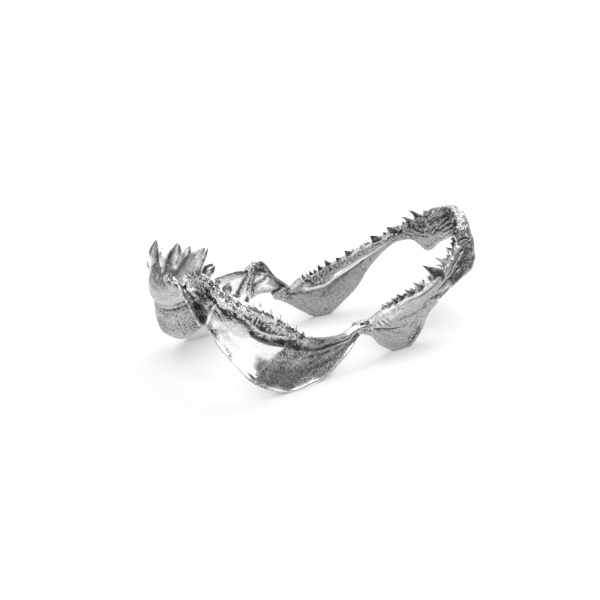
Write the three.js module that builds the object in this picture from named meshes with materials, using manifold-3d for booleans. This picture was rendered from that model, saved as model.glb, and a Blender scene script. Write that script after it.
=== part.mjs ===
// A cast shark jaw lying open: the lower jaw to -X with its teeth up, the upper jaw to +X turned
// over so that its teeth also point up, and the two joints between them. It rests on the deep
// blades of the four jaw halves, and both fronts are raised. The casting follows a real, dried
// jaw, so its two sides are a little different.
// Millimetres, +Z up. The origin is on the floor, under the middle of the whole jaw.

import * as THREE from 'three';
import { mergeVertices } from 'three/addons/utils/BufferGeometryUtils.js';
import Module from 'manifold-3d';

const wasm = await Module();
wasm.setup();
const { Manifold, Mesh: SolidMesh } = wasm;

// ---- driving dimensions ----------------------------------------------------------------------

const LEFT = -1;                       // side of the animal, as the sign of Y
const RIGHT = 1;

const JOINT = [0, 17.5, 9.4];          // middle of a jaw joint; its Y is taken to both sides
const JOINT_LENGTH = 6.4;              // length of the joint piece along X
const JOINT_RADII = [3.0, 1.8, 1.9];
const JOINT_FACETS = [12, 8];          // round and from end to end

const CHIN_HALF_WIDTH = 7;
const UPPER_FRONT_HALF_WIDTH = 5;
const LOWER_BACK = -20;                // the lower symphysis lies in front of this X
const ORBITAL_FRONT = 42.6;            // the orbital processes lie in front of this X
const PARTING = 0.3;                   // width of the cut between two pieces
const FAR = 200;                       // larger than the jaw
const WELD = 1e-4;                     // points nearer than this are one point
const ORIGIN_SHIFT = [-1.55, 0.07, 0];  // moves the origin under the middle of the jaw

// Stations of a jaw, from its front to a joint. crest: the edge that carries the teeth. keel: the
// free edge. Y is the distance from the middle plane. form: thickness of the plate, how far its
// middle bows outward, and how far the dental band stands out, in thicknesses.
const LOWER_FRONT = { crest: [-46.4, 0, 29.0], keel: [-41.0, 0, 18.0], form: [3.6, 0.2, 0] };
const LOWER_LEFT = [
  { crest: [-44.0, 6.4, 30.0], keel: [-40.4, 7.6, 16.2], form: [3.6, 0.2, 0] },
  { crest: [-40.7, 10.3, 28.6], keel: [-40.2, 12.2, 12.7], form: [3.6, 0.4, 0] },
  { crest: [-38.3, 13.4, 24.8], keel: [-38.2, 16.8, 7.2], form: [3.5, 0.2, 0] },
  { crest: [-34.9, 16.0, 22.8], keel: [-35.8, 20.9, 3.6], form: [3.3, -0.4, 0] },
  { crest: [-30.5, 17.6, 20.4], keel: [-32.0, 22.4, 1.4], form: [3.1, -1.0, 0] },
  { crest: [-25.5, 18.4, 16.4], keel: [-26.8, 23.0, -0.3], form: [3.0, -1.5, 0] },
  { crest: [-19.0, 18.4, 11.4], keel: [-20.4, 22.8, -0.3], form: [2.8, -1.4, 0] },
  { crest: [-12.8, 17.8, 9.4], keel: [-13.6, 21.3, 0.8], form: [2.6, -1.0, 0] },
  { crest: [-7.4, 18.6, 9.4], keel: [-6.6, 19.6, 3.6], form: [2.6, -0.5, 0] },
  { crest: [-2.6, 18.2, 10.4], keel: [-1.8, 18.2, 6.8], form: [2.5, -0.2, 0] },
  { crest: [2.4, 17.6, 10.4], keel: [3.0, 17.4, 8.0], form: [2.3, 0, 0] },
];
const LOWER_RIGHT = [
  { crest: [-44.8, 6.4, 29.0], keel: [-40.2, 7.4, 16.6], form: [3.6, 0.2, 0] },
  { crest: [-41.3, 10.4, 28.0], keel: [-39.4, 12.2, 13.6], form: [3.6, 0.4, 0] },
  { crest: [-38.3, 13.4, 25.2], keel: [-37.4, 15.6, 9.6], form: [3.5, 0.2, 0] },
  { crest: [-34.9, 16.0, 22.8], keel: [-34.8, 18.6, 6.2], form: [3.3, -0.2, 0] },
  { crest: [-30.5, 17.6, 20.2], keel: [-31.0, 21.2, 2.6], form: [3.1, -0.6, 0] },
  { crest: [-25.5, 18.4, 18.0], keel: [-26.8, 22.9, -0.3], form: [3.0, -1.0, 0] },
  { crest: [-20.4, 18.5, 18.3], keel: [-20.8, 22.8, -0.2], form: [2.8, -1.0, 0] },
  { crest: [-15.0, 18.6, 18.9], keel: [-13.6, 21.5, 3.2], form: [2.7, -1.0, 0] },
  { crest: [-10.6, 18.6, 18.5], keel: [-9.6, 20.6, 7.0], form: [2.6, -0.9, 0] },
  { crest: [-6.4, 19.0, 20.4], keel: [-6.4, 19.6, 9.6], form: [2.6, -0.8, 0] },
  { crest: [-1.4, 18.6, 14.8], keel: [-2.6, 18.4, 9.6], form: [2.6, -0.4, 0] },
  { crest: [3.4, 17.6, 10.8], keel: [2.0, 17.4, 7.6], form: [2.4, 0, 0] },
];
const UPPER_FRONT = { crest: [47.2, 0, 31.2], keel: [51.4, 0, 21.8], form: [4.4, 1.2, 0] };
const UPPER_LEFT = [
  { crest: [46.4, 3.2, 30.6], keel: [50.4, 5.2, 19.8], form: [4.2, 1.7, 0] },
  { crest: [44.2, 6.6, 28.0], keel: [46.2, 10.2, 14.9], form: [3.8, 2.3, 0] },
  { crest: [41.0, 9.4, 24.4], keel: [42.2, 13.6, 15.0], form: [3.2, 0.7, 0] },
  { crest: [37.4, 11.4, 20.9], keel: [38.2, 15.4, 14.8], form: [3.0, 0.3, 0] },
  { crest: [32.0, 13.6, 18.6], keel: [33.6, 16.0, 13.0], form: [3.0, 0.2, 0.1] },
  { crest: [27.4, 15.4, 17.4], keel: [28.6, 16.2, 10.2], form: [3.0, 0, 0.2] },
  { crest: [23.0, 16.9, 16.4], keel: [24.6, 16.2, 7.2], form: [3.0, -0.4, 0.3] },
  { crest: [17.6, 18.4, 15.4], keel: [21.9, 16.4, 2.9], form: [3.0, -0.8, 0.3] },
  { crest: [13.4, 18.3, 14.7], keel: [17.6, 17.0, -0.3], form: [3.0, -0.9, 0.3] },
  { crest: [10.4, 18.2, 13.6], keel: [12.4, 17.2, -0.1], form: [2.9, -0.8, 0.3] },
  { crest: [6.8, 17.8, 12.6], keel: [7.0, 17.3, 2.6], form: [2.8, -0.4, 0.2] },
  { crest: [3.0, 17.5, 10.8], keel: [3.0, 17.4, 6.2], form: [2.5, 0, 0] },
  { crest: [-1.6, 17.5, 10.2], keel: [-1.6, 17.4, 7.6], form: [2.3, 0, 0] },
];
const UPPER_RIGHT = [
  { crest: [46.2, 3.2, 30.4], keel: [50.6, 5.2, 19.2], form: [4.2, 0.6, 0] },
  { crest: [43.0, 6.6, 27.8], keel: [49.4, 9.6, 15.6], form: [3.8, 0.6, 0] },
  { crest: [39.2, 9.4, 24.8], keel: [45.2, 12.6, 19.2], form: [3.0, 0.4, 0] },
  { crest: [35.4, 11.4, 22.4], keel: [40.0, 15.0, 18.4], form: [2.9, 0.2, 0] },
  { crest: [30.0, 13.6, 19.8], keel: [34.4, 16.0, 14.4], form: [3.0, 0.1, 0] },
  { crest: [26.0, 15.4, 18.0], keel: [30.2, 16.2, 10.4], form: [3.0, 0, 0.1] },
  { crest: [22.0, 16.9, 16.2], keel: [27.2, 16.2, 6.8], form: [3.0, -0.3, 0.2] },
  { crest: [16.8, 18.4, 14.2], keel: [22.0, 16.4, 3.0], form: [3.0, -0.6, 0.2] },
  { crest: [13.4, 18.3, 13.2], keel: [16.8, 17.0, -0.3], form: [3.0, -0.7, 0.2] },
  { crest: [10.4, 18.2, 12.6], keel: [12.2, 17.2, 0.1], form: [2.9, -0.6, 0.2] },
  { crest: [7.0, 17.8, 12.6], keel: [6.8, 17.3, 3.0], form: [2.8, -0.4, 0.1] },
  { crest: [3.0, 17.5, 10.8], keel: [2.4, 17.4, 5.8], form: [2.6, 0, 0] },
  { crest: [-1.6, 17.5, 11.0], keel: [-2.0, 17.4, 8.4], form: [2.4, 0, 0] },
];
const CHIN_FRONT = { crest: [-46.6, 0.0, 28.8], keel: [-44.0, 0.0, 11.2], form: [5.4, 0.4, 0.12] };
const CHIN_LEFT = [
  { crest: [-46.4, 2.6, 29.0], keel: [-43.0, 4.4, 12.0], form: [5.2, 0.3, 0.1] },
  { crest: [-45.6, 5.0, 28.6], keel: [-40.9, 8.3, 16.0], form: [4.2, 0.1, 0] },
];
const CHIN_RIGHT = [
  { crest: [-45.5, 4.6, 29.0], keel: [-44.0, 4.8, 11.9], form: [5.0, 0.1, 0.1] },
  { crest: [-44.4, 8.0, 29.0], keel: [-42.7, 8.2, 16.6], form: [4.2, 0, 0] },
];

// Sections: [height from keel 0 to crest 1, outer face, inner face], the faces in thicknesses.
// The dental band of a station stands out at the heights above BAND_HEIGHT.
const LOWER_SECTION = [
  [0, 0.28, 0.22], [0.33, 0.1, 0.34], [0.62, 0.34, 0.26], [0.74, 0.24, 0.34], [0.88, 0.6, 0.44],
  [1, 0.4, 0.3],
];
const UPPER_SECTION = [
  [0, 0.26, 0.22], [0.46, 0.18, 0.24], [0.56, 0.22, 0.26], [0.86, 0.46, 0.5], [1, 0.34, 0.3],
];
const CHIN_SECTION = [
  [0, 0.36, 0.34], [0.2, 0.44, 0.36], [0.56, 0.4, 0.36], [0.62, 0.48, 0.36], [0.8, 0.38, 0.4],
  [1, 0.12, 0.34],
];
const BAND_HEIGHT = 0.5;
const PLATE_RINGS = 1.5;               // rings of points from one station to the next
const CHIN_RINGS = 3;

// Teeth of a half: [station, rise along the plate, reach back to the joint, lean inward, width].
// Stations count from the front station, which is 0.
const LOWER_LEFT_TEETH = [
  [1.81, 3.2, 1.9, 2.5, 2.5], [2.4, 2.2, 1.0, 1.6, 1.8], [2.93, 4.1, 1.9, 3.0, 2.5],
  [3.4, 2.0, 1.0, 1.4, 1.6], [3.94, 3.4, 1.6, 2.5, 2.2], [4.35, 1.6, 0.9, 1.2, 1.4],
  [4.71, 2.3, 1.4, 1.4, 1.7], [5.34, 2.0, 1.5, 1.2, 1.5], [5.74, 2.2, 1.6, 1.3, 1.4],
  [6.12, 2.1, 1.4, 1.1, 1.3], [6.45, 1.8, 1.4, 1.0, 1.3], [6.85, 1.3, 1.2, 0.7, 1.2],
];
const LOWER_RIGHT_TEETH = [
  [1.5, 2.6, 1.2, -1.2, 2.6], [2.4, 1.6, 1.4, -1.8, 2.4], [3.1, 1.5, 1.4, -1.8, 2.3],
  [3.7, 1.3, 1.2, -1.6, 1.9], [4.3, 1.1, 1.1, -1.5, 1.7], [4.8, 1.0, 1.0, -1.4, 1.5],
  [5.3, 0.9, 1.0, -1.2, 1.4], [5.8, 0.8, 0.9, -1.1, 1.3], [6.4, 0.8, 0.8, -1.0, 1.2],
];
const UPPER_LEFT_TEETH = [
  [2.9, 2.6, 1.6, 0.9, 2.4], [3.8, 2.8, 1.4, 0.7, 3.2], [4.7, 3.6, 1.7, 0.9, 3.0],
  [5.75, 4.9, 3.4, 1.4, 5.6], [6.75, 4.1, 1.6, 1.3, 3.4], [7.5, 3.9, 1.9, 1.3, 3.4],
  [8.25, 3.2, 1.7, 1.0, 3.0], [9.0, 2.7, 1.6, 0.8, 2.7], [9.65, 2.2, 1.5, 0.6, 2.3],
  [10.3, 1.8, 1.3, 0.4, 2.0],
];
const UPPER_RIGHT_TEETH = [
  [2.1, 3.0, 3.0, -0.4, 3.0], [2.6, 1.9, 2.8, -0.2, 2.8], [3.75, 3.8, 1.4, -0.8, 3.4],
  [4.65, 3.8, 1.4, -0.8, 3.6], [5.5, 2.2, 1.2, 0.2, 2.4], [6.5, 3.2, 1.2, 0.6, 2.8],
  [7.2, 2.2, 1.0, 0.8, 2.2], [7.8, 3.2, 0.8, 1.1, 2.4], [8.5, 3.0, 0.9, 1.0, 2.3],
  [9.1, 2.2, 0.9, 0.8, 1.9], [9.6, 2.2, 1.0, 0.6, 1.9], [10.1, 1.8, 0.9, 0.5, 1.6],
  [10.6, 1.5, 0.8, 0.4, 1.4],
];
// Where the large teeth of a half are rooted: height, and offset outward in thicknesses
const LOWER_LEFT_ROOTS = [0.95, 0];
const LOWER_RIGHT_ROOTS = [0.84, 0.45];
const UPPER_ROOTS = [0.95, 0.05];
// Front teeth of the lower jaw: root, tip, width and the way the broad face looks
const FRONT_TEETH = [
  { root: [-45.5, 6.6, 28.4], tip: [-44.3, 7.6, 34.2], width: 3.5, facing: [-0.8, -0.6, 0.1] },
  { root: [-46.0, 1.6, 28.4], tip: [-45.6, 2.4, 33.8], width: 1.5, facing: [-0.8, -0.5, 0.1] },
  { root: [-45.6, -1.4, 28.8], tip: [-43.2, -1.1, 35.0], width: 4.8, facing: [-0.5, -0.9, 0.2] },
  { root: [-44.0, -3.6, 29.4], tip: [-41.0, -2.7, 34.2], width: 3.0, facing: [-0.6, -0.8, 0.3] },
  { root: [-44.6, -6.4, 29.4], tip: [-40.4, -8.4, 34.9], width: 4.4, facing: [-0.6, -0.8, 0.5] },
  { root: [-43.4, -8.4, 28.6], tip: [-40.0, -9.2, 34.9], width: 2.4, facing: [-0.7, -0.8, 0.3] },
  { root: [-42.4, -9.0, 28.0], tip: [-38.2, -8.4, 30.6], width: 3.2, facing: [-0.5, -0.8, 0.5] },
];
// Small teeth of the rows beside the main one: evenly spaced along a half
const LOWER_OUTER_ROW = {
  from: 1.6, to: 6.8, count: 12, tall: 1.9, height: 0.9, offset: 0.42, lean: -0.5, width: 1.5,
};
const UPPER_INNER_ROW = {
  from: 2.4, to: 10, count: 12, tall: 1.4, height: 0.88, offset: -0.4, lean: 1.1, width: 1.7,
};
const TOOTH_ROOT = 0.9;                // how deep a tooth is sunk
const TOOTH_DEPTH = 0.55;              // thickness of a tooth, in widths
const TOOTH_NECK = 0.9;                // width at the sunk end, in widths
const TOOTH_WIDEST = 0.15;             // where it is widest, in heights

// ---- solids ----------------------------------------------------------------------------------

function solidFrom(points, triangles) {
  let volume = 0;
  for (const [a, b, c] of triangles) {
    volume += points[a].dot(new THREE.Vector3().crossVectors(points[b], points[c]));
  }
  const facing = volume > 0 ? triangles : triangles.map(([a, b, c]) => [a, c, b]);
  const vertProperties = new Float32Array(points.flatMap((p) => p.toArray()));
  const triVerts = new Uint32Array(facing.flat());
  return new Manifold(new SolidMesh({ numProp: 3, vertProperties, triVerts }));
}

function solidFromGeometry(geometry) {
  geometry.deleteAttribute('normal');
  geometry.deleteAttribute('uv');
  const merged = mergeVertices(geometry, WELD);
  const vertProperties = new Float32Array(merged.attributes.position.array);
  const triVerts = new Uint32Array(merged.index.array);
  return new Manifold(new SolidMesh({ numProp: 3, vertProperties, triVerts }));
}

const middleOf = (ring) => ring.reduce((sum, p) => sum.add(p), new THREE.Vector3())
  .divideScalar(ring.length);

// Closed skin over rings of equally many points; each end is a fan round its middle or a tip
function loft(rings, tip = middleOf(rings.at(-1))) {
  const count = rings[0].length;
  const points = [...rings.flat(), middleOf(rings[0]), tip];
  const startMiddle = points.length - 2;
  const endMiddle = points.length - 1;
  const lastRing = (rings.length - 1) * count;
  const triangles = [];
  for (let i = 0; i < count; i += 1) {
    const next = (i + 1) % count;
    for (let ring = 0; ring < lastRing; ring += count) {
      triangles.push([ring + i, ring + next, ring + next + count]);
      triangles.push([ring + i, ring + next + count, ring + i + count]);
    }
    triangles.push([startMiddle, next, i], [endMiddle, lastRing + i, lastRing + next]);
  }
  return solidFrom(points, triangles);
}

// A pointed tooth with its broad face along facing: a flat lens at the root, widest just above
// it, and one tip
function tooth(root, tip, width, facing) {
  const axis = tip.clone().sub(root);
  const tall = axis.length();
  axis.normalize();
  const wide = new THREE.Vector3().crossVectors(facing, axis).normalize();
  const across = new THREE.Vector3().crossVectors(axis, wide).normalize();
  const lens = (rise, size) => [[1, 0], [0, 1], [-1, 0], [0, -1]].map(([w, d]) => root.clone()
    .addScaledVector(axis, rise).addScaledVector(wide, w * size * width / 2)
    .addScaledVector(across, d * size * width * TOOTH_DEPTH / 2));
  return loft([lens(-TOOTH_ROOT, TOOTH_NECK), lens(tall * TOOTH_WIDEST, 1)], tip);
}

const vector = (numbers) => new THREE.Vector3(...numbers);

// A jaw as one bent plate from its left joint round the front to its right joint
class Jaw {
  constructor(left, front, right, turn) {
    const mirror = ({ crest, keel, form }) => ({
      crest: [crest[0], -crest[1], crest[2]], keel: [keel[0], -keel[1], keel[2]], form,
    });
    const stations = [...left.map(mirror).reverse(), front, ...right];
    const curve = (key) => new THREE.CatmullRomCurve3(
      stations.map((station) => new THREE.Vector3(...station[key])), false, 'centripetal');
    this.crest = curve('crest');
    this.keel = curve('keel');
    this.form = curve('form');
    this.frontStation = left.length;
    this.spans = stations.length - 1;
    this.turn = turn;
  }

  // Position and directions of the plate at a station number counted from the front
  frame(side, station) {
    const place = THREE.MathUtils.clamp((this.frontStation + side * station) / this.spans, 0, 1);
    const crest = this.crest.getPoint(place);
    const keel = this.keel.getPoint(place);
    const along = this.crest.getTangent(place).add(this.keel.getTangent(place)).normalize();
    const rise = crest.sub(keel);
    const out = new THREE.Vector3().crossVectors(rise, along).multiplyScalar(this.turn).normalize();
    const [thickness, bow, band] = this.form.getPoint(place).toArray();
    return { keel, rise, along, out, thickness, bow, band };
  }

  // A point of the plate: height from keel to crest, offset outward in thicknesses
  point(frame, height, offset) {
    const bow = frame.bow * 4 * height * (1 - height);
    return frame.keel.clone().addScaledVector(frame.rise, height)
      .addScaledVector(frame.out, bow + offset * frame.thickness);
  }

  plate(section, ringsPerStation) {
    const rings = [];
    const steps = this.spans * ringsPerStation;
    for (let i = 0; i <= steps; i += 1) {
      const frame = this.frame(RIGHT, i / ringsPerStation - this.frontStation);
      const band = (height) => (height > BAND_HEIGHT ? frame.band : 0);
      const outer = section.map(([height, face]) => this.point(frame, height, face + band(height)));
      const inner = section.map(([height, , face]) => this.point(frame, height, -face)).reverse();
      rings.push([...outer, ...inner]);
    }
    return loft(rings);
  }

  // Large teeth, each with its tip up along the plate, back toward the joint and inward
  mainRow(side, teeth, [height, offset]) {
    return teeth.map(([station, up, back, inward, width]) => {
      const frame = this.frame(side, station);
      const root = this.point(frame, height, offset);
      const tip = root.clone().addScaledVector(frame.rise.clone().normalize(), up)
        .addScaledVector(frame.along, side * back).addScaledVector(frame.out, -inward);
      return tooth(root, tip, width, frame.out);
    });
  }

  // Small teeth at even places along both halves
  evenRow({ from, to, count, tall, height, offset, lean, width }) {
    return [LEFT, RIGHT].flatMap((side) => Array.from({ length: count }, (_, i) => {
      const frame = this.frame(side, from + (to - from) * i / (count - 1));
      const root = this.point(frame, height, offset);
      const axis = frame.rise.clone().normalize().addScaledVector(frame.out, -lean).normalize();
      return tooth(root, root.clone().addScaledVector(axis, tall), width, frame.out);
    }));
  }
}

function knuckle(side) {
  const geometry = new THREE.SphereGeometry(1, ...JOINT_FACETS);
  geometry.scale(...JOINT_RADII);
  geometry.translate(JOINT[0], side * JOINT[1], JOINT[2]);
  return solidFromGeometry(geometry);
}

// Part of a solid between two X and two Y planes, above the floor, half a parting inside each.
// Only its largest body is kept, without the slivers that a cut can leave.
function between(solid, [x0, x1], [y0, y1]) {
  const size = [x1 - x0 - PARTING, y1 - y0 - PARTING, FAR];
  const box = new THREE.BoxGeometry(...size);
  box.translate((x0 + x1) / 2, (y0 + y1) / 2, FAR / 2);
  const bodies = solid.intersect(solidFromGeometry(box)).decompose();
  return bodies.sort((a, b) => b.volume() - a.volume())[0];
}

// ---- the jaw ---------------------------------------------------------------------------------

const lowerJaw = new Jaw(LOWER_LEFT, LOWER_FRONT, LOWER_RIGHT, 1);
const upperJaw = new Jaw(UPPER_LEFT, UPPER_FRONT, UPPER_RIGHT, -1);
const chin = new Jaw(CHIN_LEFT, CHIN_FRONT, CHIN_RIGHT, 1);

const lower = Manifold.union([
  lowerJaw.plate(LOWER_SECTION, PLATE_RINGS),
  chin.plate(CHIN_SECTION, CHIN_RINGS),
  ...lowerJaw.mainRow(LEFT, LOWER_LEFT_TEETH, LOWER_LEFT_ROOTS),
  ...lowerJaw.mainRow(RIGHT, LOWER_RIGHT_TEETH, LOWER_RIGHT_ROOTS),
  ...lowerJaw.evenRow(LOWER_OUTER_ROW),
  ...FRONT_TEETH.map(({ root, tip, width, facing }) => (
    tooth(vector(root), vector(tip), width, vector(facing)))),
]);
const upper = Manifold.union([
  upperJaw.plate(UPPER_SECTION, PLATE_RINGS),
  ...upperJaw.mainRow(LEFT, UPPER_LEFT_TEETH, UPPER_ROOTS),
  ...upperJaw.mainRow(RIGHT, UPPER_RIGHT_TEETH, UPPER_ROOTS),
  ...upperJaw.evenRow(UPPER_INNER_ROW),
]);

const metal = (color, roughness) => new THREE.MeshStandardMaterial({
  color, metalness: 1, roughness, flatShading: true,
});
const plateMetal = metal('#b9bbbf', 0.32);
const frontMetal = metal('#c6c8cb', 0.26);
const jointMetal = metal('#a9abb0', 0.36);

const jointX = [JOINT[0] - JOINT_LENGTH / 2, JOINT[0] + JOINT_LENGTH / 2];
const bothSides = (halfWidth) => [-halfWidth, halfWidth];
const outside = (side, halfWidth) => (side === LEFT ? [-FAR, -halfWidth] : [halfWidth, FAR]);

const jaw = new THREE.Group();

function addPiece(name, solid, material) {
  const { vertProperties, triVerts } = solid.getMesh();
  const geometry = new THREE.BufferGeometry();
  geometry.setAttribute('position', new THREE.BufferAttribute(vertProperties, 3));
  geometry.setIndex(new THREE.BufferAttribute(triVerts, 1));
  const mesh = new THREE.Mesh(geometry, material);
  mesh.name = name;
  mesh.position.set(...ORIGIN_SHIFT);
  jaw.add(mesh);
}

addPiece('lower_symphysis',
  between(lower, [-FAR, LOWER_BACK], bothSides(CHIN_HALF_WIDTH)), frontMetal);
addPiece('upper_symphysis',
  between(upper, [ORBITAL_FRONT, FAR], bothSides(UPPER_FRONT_HALF_WIDTH)), frontMetal);

for (const [name, side] of [['left', LEFT], ['right', RIGHT]]) {
  const joint = Manifold.union([lower, upper, knuckle(side)]);
  addPiece(`lower_jaw_${name}`,
    between(lower, [-FAR, jointX[0]], outside(side, CHIN_HALF_WIDTH)), plateMetal);
  addPiece(`jaw_joint_${name}`, between(joint, jointX, outside(side, 0)), jointMetal);
  addPiece(`upper_jaw_${name}`,
    between(upper, [jointX[1], ORBITAL_FRONT], outside(side, 0)), plateMetal);
  addPiece(`orbital_process_${name}`,
    between(upper, [ORBITAL_FRONT, FAR], outside(side, UPPER_FRONT_HALF_WIDTH)), frontMetal);
}

export default jaw;
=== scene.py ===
"""A cast silver shark jaw lying open on a pale studio floor: one seamless casting with crisp teeth.
Lengths are in millimetres until a mesh is finished; Blender's own are in metres."""

import math

import bpy
import numpy as np
from mathutils import Matrix, Vector
from mathutils.kdtree import KDTree


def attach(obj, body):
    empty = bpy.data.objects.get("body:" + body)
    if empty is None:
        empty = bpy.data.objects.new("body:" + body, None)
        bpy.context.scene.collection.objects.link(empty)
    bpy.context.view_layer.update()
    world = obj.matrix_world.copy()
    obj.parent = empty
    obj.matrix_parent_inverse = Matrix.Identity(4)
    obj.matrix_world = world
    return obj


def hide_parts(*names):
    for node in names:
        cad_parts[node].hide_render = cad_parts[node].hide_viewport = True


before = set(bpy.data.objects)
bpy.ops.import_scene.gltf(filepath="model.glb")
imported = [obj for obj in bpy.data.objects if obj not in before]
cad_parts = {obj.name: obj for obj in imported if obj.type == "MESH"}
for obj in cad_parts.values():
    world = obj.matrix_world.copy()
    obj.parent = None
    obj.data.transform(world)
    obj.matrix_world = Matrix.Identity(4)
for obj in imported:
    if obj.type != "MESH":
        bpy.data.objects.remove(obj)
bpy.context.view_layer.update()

MM = 0.001
SHIFT = np.array([-1.55, 0.07, 0.0])     # from the jaw's own middle to the part's origin
rng = np.random.default_rng(7)

# Stations of a jaw from its front to a joint: crest, keel, and (thickness, bow, band). The bow moves the
# plate outward halfway up. The band is added to its outer face near the crest, in thicknesses.
LOWER_FRONT = ((-46.4, 0, 29.0), (-41.0, 0, 18.0), (3.6, 0.2, 0))
LOWER_LEFT = [
    ((-44.0, 6.4, 30.0), (-40.4, 7.6, 16.2), (3.6, 0.2, 0)),
    ((-40.7, 10.3, 28.6), (-40.2, 12.2, 12.7), (3.6, 0.4, 0)),
    ((-38.3, 13.4, 24.8), (-38.2, 16.8, 7.2), (3.5, 0.2, 0)),
    ((-34.9, 16.0, 22.8), (-35.8, 20.9, 3.6), (3.3, -0.4, 0)),
    ((-30.5, 17.6, 20.4), (-32.0, 22.4, 1.4), (3.1, -1.0, 0)),
    ((-25.5, 18.4, 16.4), (-26.8, 23.0, -0.3), (3.0, -1.5, 0)),
    ((-19.0, 18.4, 11.4), (-20.4, 22.8, -0.3), (2.8, -1.4, 0)),
    ((-12.8, 17.8, 9.4), (-13.6, 21.3, 0.8), (2.6, -1.0, 0)),
    ((-7.4, 18.6, 9.4), (-6.6, 19.6, 3.6), (2.6, -0.5, 0)),
    ((-2.6, 18.2, 10.4), (-1.8, 18.2, 6.8), (2.5, -0.2, 0)),
    ((2.4, 17.6, 10.4), (3.0, 17.4, 8.0), (2.3, 0, 0)),
]
LOWER_RIGHT = [
    ((-44.8, 6.4, 29.0), (-40.2, 7.4, 16.6), (3.6, 0.2, 0)),
    ((-41.3, 10.4, 28.0), (-39.4, 12.2, 13.6), (3.6, 0.4, 0)),
    ((-38.3, 13.4, 25.2), (-37.4, 15.6, 9.6), (3.5, 0.2, 0)),
    ((-34.9, 16.0, 22.8), (-34.8, 18.6, 6.2), (3.3, -0.2, 0)),
    ((-30.5, 17.6, 20.2), (-31.0, 21.2, 2.6), (3.1, -0.6, 0)),
    ((-25.5, 18.4, 18.0), (-26.8, 22.9, -0.3), (3.0, -1.0, 0)),
    ((-20.4, 18.5, 18.3), (-20.8, 22.8, -0.2), (2.8, -1.0, 0)),
    ((-15.0, 18.6, 18.9), (-13.6, 21.5, 3.2), (2.7, -1.0, 0)),
    ((-10.6, 18.6, 18.5), (-9.6, 20.6, 7.0), (2.6, -0.9, 0)),
    ((-6.4, 19.0, 20.4), (-6.4, 19.6, 9.6), (2.6, -0.8, 0)),
    ((-1.4, 18.6, 14.8), (-2.6, 18.4, 9.6), (2.6, -0.4, 0)),
    ((3.4, 17.6, 10.8), (2.0, 17.4, 7.6), (2.4, 0, 0)),
]
UPPER_FRONT = ((47.2, 0, 31.2), (51.4, 0, 21.8), (4.4, 1.2, 0))
UPPER_LEFT = [
    ((46.4, 3.2, 30.6), (50.4, 5.2, 19.8), (4.2, 1.7, 0)),
    ((44.2, 6.6, 28.0), (46.2, 10.2, 14.9), (3.8, 2.3, 0)),
    ((41.0, 9.4, 24.4), (42.2, 13.6, 15.0), (3.2, 0.7, 0)),
    ((37.4, 11.4, 20.9), (38.2, 15.4, 14.8), (3.0, 0.3, 0)),
    ((32.0, 13.6, 18.6), (33.6, 16.0, 13.0), (3.0, 0.2, 0.1)),
    ((27.4, 15.4, 17.4), (28.6, 16.2, 10.2), (3.0, 0, 0.2)),
    ((23.0, 16.9, 16.4), (24.6, 16.2, 7.2), (3.0, -0.4, 0.3)),
    ((17.6, 18.4, 15.4), (21.9, 16.4, 2.9), (3.0, -0.8, 0.3)),
    ((13.4, 18.3, 14.7), (17.6, 17.0, -0.3), (3.0, -0.9, 0.3)),
    ((10.4, 18.2, 13.6), (12.4, 17.2, -0.1), (2.9, -0.8, 0.3)),
    ((6.8, 17.8, 12.6), (7.0, 17.3, 2.6), (2.8, -0.4, 0.2)),
    ((3.0, 17.5, 10.8), (3.0, 17.4, 6.2), (2.5, 0, 0)),
    ((-1.6, 17.5, 10.2), (-1.6, 17.4, 7.6), (2.3, 0, 0)),
]
UPPER_RIGHT = [
    ((46.2, 3.2, 30.4), (50.6, 5.2, 19.2), (4.2, 0.6, 0)),
    ((43.0, 6.6, 27.8), (49.4, 9.6, 15.6), (3.8, 0.6, 0)),
    ((39.2, 9.4, 24.8), (45.2, 12.6, 19.2), (3.0, 0.4, 0)),
    ((35.4, 11.4, 22.4), (40.0, 15.0, 18.4), (2.9, 0.2, 0)),
    ((30.0, 13.6, 19.8), (34.4, 16.0, 14.4), (3.0, 0.1, 0)),
    ((26.0, 15.4, 18.0), (30.2, 16.2, 10.4), (3.0, 0, 0.1)),
    ((22.0, 16.9, 16.2), (27.2, 16.2, 6.8), (3.0, -0.3, 0.2)),
    ((16.8, 18.4, 14.2), (22.0, 16.4, 3.0), (3.0, -0.6, 0.2)),
    ((13.4, 18.3, 13.2), (16.8, 17.0, -0.3), (3.0, -0.7, 0.2)),
    ((10.4, 18.2, 12.6), (12.2, 17.2, 0.1), (2.9, -0.6, 0.2)),
    ((7.0, 17.8, 12.6), (6.8, 17.3, 3.0), (2.8, -0.4, 0.1)),
    ((3.0, 17.5, 10.8), (2.4, 17.4, 5.8), (2.6, 0, 0)),
    ((-1.6, 17.5, 11.0), (-2.0, 17.4, 8.4), (2.4, 0, 0)),
]
CHIN_FRONT = ((-46.6, 0.0, 28.8), (-44.0, 0.0, 11.2), (5.4, 0.4, 0.12))
CHIN_LEFT = [
    ((-46.4, 2.6, 29.0), (-43.0, 4.4, 12.0), (5.2, 0.3, 0.1)),
    ((-45.6, 5.0, 28.6), (-40.9, 8.3, 16.0), (4.2, 0.1, 0)),
]
CHIN_RIGHT = [
    ((-45.5, 4.6, 29.0), (-44.0, 4.8, 11.9), (5.0, 0.1, 0.1)),
    ((-44.4, 8.0, 29.0), (-42.7, 8.2, 16.6), (4.2, 0, 0)),
]
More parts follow.
